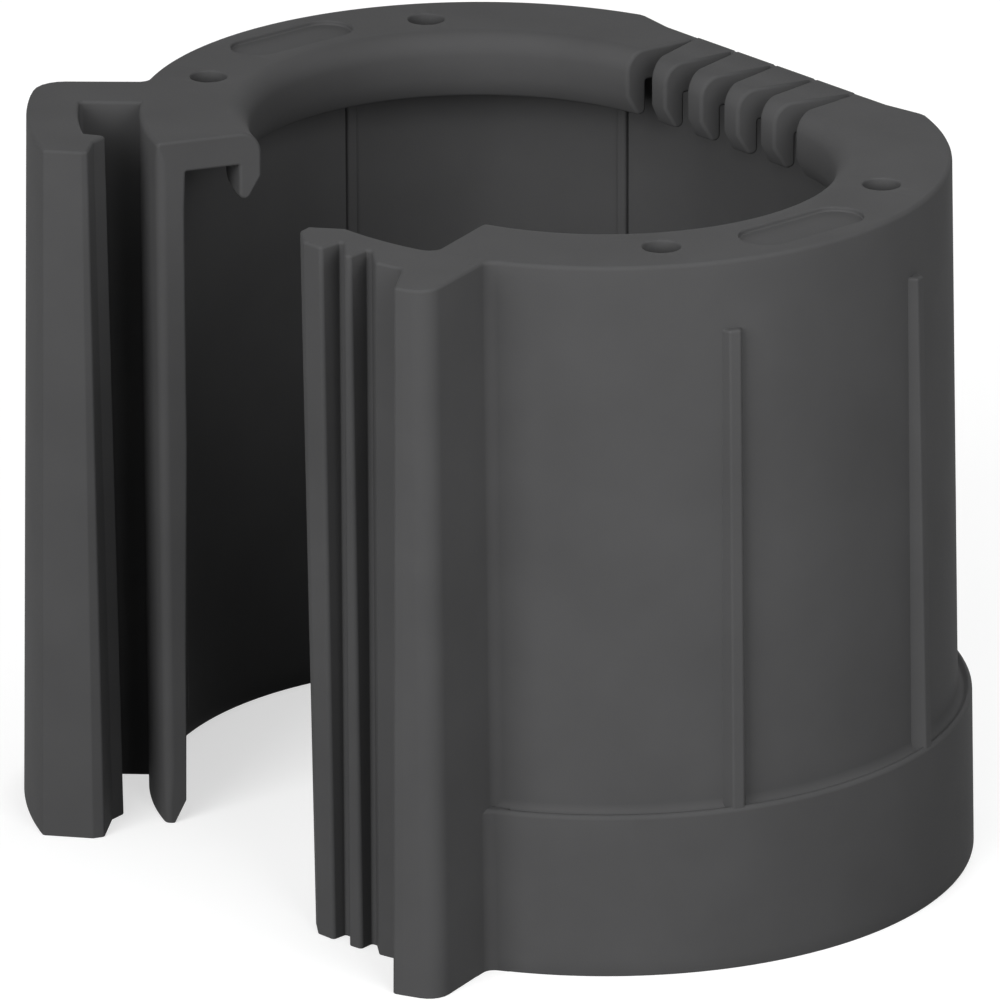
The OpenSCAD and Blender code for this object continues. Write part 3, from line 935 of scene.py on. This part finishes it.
def ear_outline(form, depth):
    """Outline of the ear at a depth below the top: its back plane, a rounded corner, the clasp's
    circle, the bevel's plane, the end's plane, the mouth's steps, the catch, and the channel's
    outer circle and back. The channel shifts inwards with the depth by its lean."""
    slide = depth * WALL_SLOPE
    shift = -depth * CLASP_LEAN * polar(1.0, CATCH_ANGLE)
    clasp, back = CLASP_RADIUS + slide, EAR_OFFSET + slide
    bevel, end = BEVEL_OFFSET + slide, EAR_END_OFFSET + slide
    inner = WALL_RADIUS + slide - SINK
    edge = mm(form.clasp_round)
    back_corner = plane_angle(EAR_NORMAL, back, clasp, 1)
    bevel_corner = plane_angle(BEVEL_NORMAL, bevel, clasp, -1)
    steps = [polar(CHANNEL_OUTER + reach, CATCH_ANGLE + turn) + shift for turn, reach in MOUTH_STEPS]
    face = polar(1.0, EAR_END_NORMAL)
    share = (end - steps[0] @ face) / ((steps[1] - steps[0]) @ face)
    turns = np.linspace(back_corner + EAR_MARGINS[0], bevel_corner - EAR_MARGINS[1], ARC_POINTS)
    catch, channel = CATCH_ANGLE - CHANNEL_MARGINS[0], CHANNEL_BACK + CHANNEL_MARGINS[1]
    corners = [
        polar(inner, plane_angle(EAR_NORMAL, back, inner, 1)),
        polar(clasp, back_corner),
        *polar(clasp, turns),
        polar(clasp, bevel_corner),
        plane_corner(BEVEL_NORMAL, bevel, EAR_END_NORMAL, end),
        steps[0] + share * (steps[1] - steps[0]),
        steps[0],
        polar(CATCH_CREST, CATCH_ANGLE) + shift,
        polar(CHANNEL_OUTER, CATCH_ANGLE - CATCH_SLOPE) + shift,
        *(polar(CHANNEL_OUTER, np.linspace(catch, channel, ARC_POINTS)) + shift),
        polar(CHANNEL_OUTER, CHANNEL_BACK) + shift,
        polar(CHANNEL_INNER - SINK, CHANNEL_BACK) + shift,
        polar(CHANNEL_INNER - SINK, CHANNEL_BACK - CHANNEL_ROOT_TURN),
    ]
    arc = [ARC_ROUND] * ARC_POINTS
    radii = [edge, EAR_ROUND, *arc, edge, BEVEL_ROUND, edge, MOUTH_ROUND, edge, CATCH_SHARE * edge]
    radii += [*arc, edge, edge, edge]
    return -soften(np.array(corners), np.array(radii)) - [SPREAD, 0.0]


def root_outline(form, depth, normal, offset, step):
    """Outline of the hollow rounding between the wall and an upright face: an arc about the point
    that lies one rounding outside both. It runs on along wall and face just under their surface,
    and is closed by three points inside the solid."""
    slide = depth * WALL_SLOPE
    radius, wall, face = mm(form.root_round), WALL_RADIUS + slide + step, offset + slide
    turn = plane_angle(normal, face + radius, wall + radius, 1)
    turns = np.linspace(turn + 180.0, normal + 180.0, ROOT_POINTS)
    arc = polar(wall + radius, turn) + polar(radius, turns)
    under = 4.0 * STEP
    run = np.degrees(SINK / wall)
    return np.concatenate([
        polar(wall - SINK, turn - run)[None],
        polar(wall - under, turn - run)[None],
        arc,
        (arc[-1] + polar(SINK, normal + 90.0) - polar(under, normal))[None],
        (arc[-1] + polar(SINK, normal + 90.0) - polar(SINK, normal))[None],
        polar(wall - SINK, plane_angle(normal, face, wall, 1) + HOLLOW_ROOT_TURN)[None],
    ])


def root_shells(form):
    """Hollow roundings beside stop and ear, above the skirt and along it."""
    skirt_top, edge = mm(form.skirt_height), mm(form.edge_round)
    clasp_edge = CLASP_TOP_SHARE * mm(form.clasp_round)
    edges = np.concatenate([np.full(2, edge), np.linspace(edge, clasp_edge, ROOT_POINTS + 3)])
    shells = []
    for normal, offset, way in (
        (JOG_NORMAL, JOG_OFFSET, np.array([1.0, -1.0])),
        (EAR_NORMAL, EAR_OFFSET, np.array([-1.0, -1.0])),
    ):
        centre = np.array([way[0] * SPREAD, 0.0])
        for step, z_top, z_foot in (
            (0.0, HEIGHT - STEP / 2.0, skirt_top - SINK),
            (mm(form.skirt_step), skirt_top, 0.0),
        ):
            top = root_outline(form, HEIGHT - z_top, normal, offset, step) * way + centre
            foot = root_outline(form, HEIGHT - z_foot, normal, offset, step) * way + centre
            shells.append(loft(top, foot, z_top, z_foot, edges, HIDDEN_ROUND))
    return shells


def clasp_shells(form):
    """Stop with tongue, and ear: outlines at the top and at the base, lofted with rounded ends."""
    edge = CLASP_TOP_SHARE * mm(form.clasp_round)
    return [
        loft(outline(form, 0.0), outline(form, HEIGHT), HEIGHT - STEP, 0.0, edge, BASE_ROUND)
        for outline in (stop_outline, ear_outline)
    ]


def plastic(finish):
    """The moulded plastic: a fine spark-eroded grain as bump and as play in the roughness, and a
    slow change of tone."""
    material = bpy.data.materials.get("moulded plastic")
    if material:
        return material
    material = bpy.data.materials.new("moulded plastic")
    material.use_nodes = True
    nodes, links = material.node_tree.nodes, material.node_tree.links
    shader = nodes["Principled BSDF"]
    shader.inputs["Specular IOR Level"].default_value = finish.gloss
    place = nodes.new("ShaderNodeTexCoord")

    def noise(size, detail):
        texture = nodes.new("ShaderNodeTexNoise")
        texture.inputs["Scale"].default_value = 1.0 / size
        texture.inputs["Detail"].default_value = detail
        links.new(place.outputs["Object"], texture.inputs["Vector"])
        return texture.outputs["Fac"]

    grain = noise(finish.grain_size, 2.0)
    bump = nodes.new("ShaderNodeBump")
    bump.inputs["Distance"].default_value = finish.grain_depth
    links.new(grain, bump.inputs["Height"])
    links.new(bump.outputs["Normal"], shader.inputs["Normal"])
    matt = nodes.new("ShaderNodeMapRange")
    matt.inputs["From Min"].default_value, matt.inputs["From Max"].default_value = NOISE_RANGE
    matt.inputs["To Min"].default_value = finish.roughness - ROUGHNESS_PLAY
    matt.inputs["To Max"].default_value = finish.roughness + ROUGHNESS_PLAY
    links.new(grain, matt.inputs["Value"])
    links.new(matt.outputs["Result"], shader.inputs["Roughness"])
    tone = nodes.new("ShaderNodeValToRGB")
    for element, place_on, sign in zip(tone.color_ramp.elements, NOISE_RANGE, (-1.0, 1.0)):
        element.position = place_on
        element.color = (*(c * (1.0 + sign * finish.tone_change) for c in finish.plastic_colour), 1.0)
    links.new(noise(finish.tone_size, 4.0), tone.inputs["Fac"])
    links.new(tone.outputs["Color"], shader.inputs["Base Color"])
    return material


class BUSHING_OT_rings(bpy.types.Operator):
    """Build the half rings with their holes and label recesses"""

    bl_idname = "bushing.rings"
    bl_label = "Half rings"

    def execute(self, context):
        form = context.scene.bushing_form
        piece = add_piece("half_rings", [half_shell(form, 1.0), half_shell(form, -1.0)])
        carve(piece, add_piece("cuts", cut_shells(form)))
        finish_piece(piece, plastic(context.scene.bushing_finish))
        return {"FINISHED"}


class BUSHING_OT_hinge(bpy.types.Operator):
    """Build the film hinge and the fingers of flange and lip above it"""

    bl_idname = "bushing.hinge"
    bl_label = "Film hinge"

    def execute(self, context):
        form = context.scene.bushing_form
        piece = add_piece("hinge", [film_shell(form)] + finger_shells(form))
        finish_piece(piece, plastic(context.scene.bushing_finish))
        return {"FINISHED"}


class BUSHING_OT_clasp(bpy.types.Operator):
    """Build the stop with its toothed tongue, and the ear with its channel"""

    bl_idname = "bushing.clasp"
    bl_label = "Clasp"

    def execute(self, context):
        form = context.scene.bushing_form
        piece = add_piece("clasp", clasp_shells(form) + root_shells(form))
        finish_piece(piece, plastic(context.scene.bushing_finish))
        return {"FINISHED"}


class BUSHING_OT_ribs(bpy.types.Operator):
    """Build the ribs outside and inside the half rings"""

    bl_idname = "bushing.ribs"
    bl_label = "Ribs"

    def execute(self, context):
        piece = add_piece("ribs", rib_shells(context.scene.bushing_form))
        finish_piece(piece, plastic(context.scene.bushing_finish))
        return {"FINISHED"}


class BUSHING_OT_stage(bpy.types.Operator):
    """Set up the pale floor, the soft studio light and the camera"""

    bl_idname = "bushing.stage"
    bl_label = "Stage"

    def execute(self, context):
        stage = context.scene.bushing_stage
        add_floor(stage)
        add_lamps(stage)
        add_camera(stage)
        return {"FINISHED"}


def seen_share(tree):
    """Output that is 1 for rays that see the backdrop, straight, mirrored or through, and else 0."""
    path = tree.nodes.new("ShaderNodeLightPath")
    share = path.outputs["Is Camera Ray"]
    for name in ("Is Glossy Ray", "Is Transmission Ray"):
        total = tree.nodes.new("ShaderNodeMath")
        total.operation = "ADD"
        total.use_clamp = True
        tree.links.new(share, total.inputs[0])
        tree.links.new(path.outputs[name], total.inputs[1])
        share = total.outputs["Value"]
    return share


def add_floor(stage):
    """A flat square floor, well wider than the picture. It is seen as nearly white with a light
    shadow, and throws less light back on the part."""
    corners = np.array([[-1.0, -1.0, 0.0], [1.0, -1.0, 0.0], [1.0, 1.0, 0.0], [-1.0, 1.0, 0.0]])
    mesh = bpy.data.meshes.new("floor")
    mesh.from_pydata(corners * FLOOR_HALF, [], [(0, 1, 2, 3)])
    floor = bpy.data.objects.new("floor", mesh)
    bpy.context.scene.collection.objects.link(floor)
    material = bpy.data.materials.new("floor")
    material.use_nodes = True
    tree = material.node_tree
    tree.nodes.remove(tree.nodes["Principled BSDF"])
    bounce, seen = tree.nodes.new("ShaderNodeBsdfDiffuse"), tree.nodes.new("ShaderNodeBsdfDiffuse")
    bounce.inputs["Color"].default_value = (*stage.floor_bounce, 1.0)
    seen.inputs["Color"].default_value = (*stage.floor_colour, 1.0)
    glow = tree.nodes.new("ShaderNodeEmission")
    glow.inputs["Strength"].default_value = stage.floor_glow
    lighten, choose = tree.nodes.new("ShaderNodeAddShader"), tree.nodes.new("ShaderNodeMixShader")
    tree.links.new(seen.outputs["BSDF"], lighten.inputs[0])
    tree.links.new(glow.outputs["Emission"], lighten.inputs[1])
    tree.links.new(seen_share(tree), choose.inputs["Fac"])
    tree.links.new(bounce.outputs["BSDF"], choose.inputs[1])
    tree.links.new(lighten.outputs["Shader"], choose.inputs[2])
    tree.links.new(choose.outputs["Shader"], tree.nodes["Material Output"].inputs["Surface"])
    mesh.materials.append(material)


def add_lamp(name, turn, height, away, size, power, target):
    """A square area lamp that faces a target from a turn and a height in degrees. It gives light,
    and is seen neither straight nor in a mirror."""
    light = bpy.data.lights.new(name, "AREA")
    light.shape = "SQUARE"
    light.size = size
    light.energy = power
    lamp = bpy.data.objects.new(name, light)
    turn, height = math.radians(turn), math.radians(height)
    level = math.cos(height)
    way = Vector((level * math.cos(turn), level * math.sin(turn), math.sin(height)))
    lamp.rotation_euler = (-way).to_track_quat("-Z", "Y").to_euler()
    lamp.location = Vector(target) + away * way
    lamp.visible_camera = False
    lamp.visible_glossy = False
    bpy.context.scene.collection.objects.link(lamp)


def add_lamps(stage):
    """Soft lamps: large ones far off at the front, above and low behind, and a small one close to
    the right. The world is seen as white."""
    for name, turn, height, away, size, power in (
        ("front_low", -76.0, 20.0, 0.6, 0.35, 2.6),
        ("front_high", -70.0, 50.0, 0.6, 0.35, 0.6),
        ("close", -12.0, 30.0, 0.13, 0.08, 0.095),
        ("above", 0.0, 89.0, 0.6, 0.35, 0.55),
        ("behind", 130.0, 12.0, 0.6, 0.2, 2.4),
    ):
        add_lamp(name, turn, height, away, size, power, stage.target)
    world = bpy.data.worlds.new("studio")
    world.use_nodes = True
    tree = world.node_tree
    light = tree.nodes["Background"]
    light.inputs["Color"].default_value = (1.0, 1.0, 1.0, 1.0)
    light.inputs["Strength"].default_value = stage.sky
    seen = tree.nodes.new("ShaderNodeBackground")
    seen.inputs["Color"].default_value = (1.0, 1.0, 1.0, 1.0)
    choose = tree.nodes.new("ShaderNodeMixShader")
    tree.links.new(seen_share(tree), choose.inputs["Fac"])
    tree.links.new(light.outputs["Background"], choose.inputs[1])
    tree.links.new(seen.outputs["Background"], choose.inputs[2])
    tree.links.new(choose.outputs["Shader"], tree.nodes["World Output"].inputs["Surface"])
    bpy.context.scene.world = world


def add_camera(stage):
    """A long lens at the picture's viewing angle."""
    a, e = stage.azimuth, stage.elevation
    back = Vector((math.sin(a) * math.cos(e), -math.cos(a) * math.cos(e), math.sin(e)))
    camera = bpy.data.cameras.new("camera")
    camera.sensor_fit = "AUTO"
    camera.sensor_width = 36.0
    camera.lens = camera.sensor_width * stage.distance / stage.frame_width
    camera.clip_start = 0.01
    camera.clip_end = 20.0
    seat = bpy.data.objects.new("camera", camera)
    turn = (-back).to_track_quat("-Z", "Y").to_matrix() @ Matrix.Rotation(stage.roll, 3, "Z")
    seat.matrix_world = Matrix.Translation(Vector(stage.target) + back * stage.distance) @ turn.to_4x4()
    bpy.context.scene.collection.objects.link(seat)
    bpy.context.scene.camera = seat


class BUSHING_PT_panel(bpy.types.Panel):
    """Sidebar panel with the bushing's operators and settings"""

    bl_idname = "BUSHING_PT_panel"
    bl_label = "Conduit End Bushing"
    bl_space_type = "VIEW_3D"
    bl_region_type = "UI"
    bl_category = "Bushing"

    def draw(self, context):
        scene = context.scene
        for group in (scene.bushing_form, scene.bushing_finish, scene.bushing_stage):
            for name in group.__annotations__:
                self.layout.prop(group, name)
        for operator in OPERATORS:
            self.layout.operator(operator.bl_idname)


OPERATORS = (BUSHING_OT_rings, BUSHING_OT_hinge, BUSHING_OT_clasp, BUSHING_OT_ribs, BUSHING_OT_stage)
CLASSES = (BushingForm, BushingFinish, BushingStage, *OPERATORS, BUSHING_PT_panel)


def register():
    """The classes are registered, and the scene gets their settings."""
    for cls in CLASSES:
        bpy.utils.register_class(cls)
    bpy.types.Scene.bushing_form = bpy.props.PointerProperty(type=BushingForm)
    bpy.types.Scene.bushing_finish = bpy.props.PointerProperty(type=BushingFinish)
    bpy.types.Scene.bushing_stage = bpy.props.PointerProperty(type=BushingStage)


def unregister():
    """The scene's settings and the classes are taken back."""
    del bpy.types.Scene.bushing_stage
    del bpy.types.Scene.bushing_finish
    del bpy.types.Scene.bushing_form
    for cls in reversed(CLASSES):
        bpy.utils.unregister_class(cls)


def main():
    """All pieces and the stage are built."""
    register()
    bpy.context.scene.view_settings.view_transform = "Standard"
    bpy.ops.bushing.rings()
    bpy.ops.bushing.hinge()
    bpy.ops.bushing.clasp()
    bpy.ops.bushing.ribs()
    bpy.ops.bushing.stage()


if __name__ == "__main__":
    main()
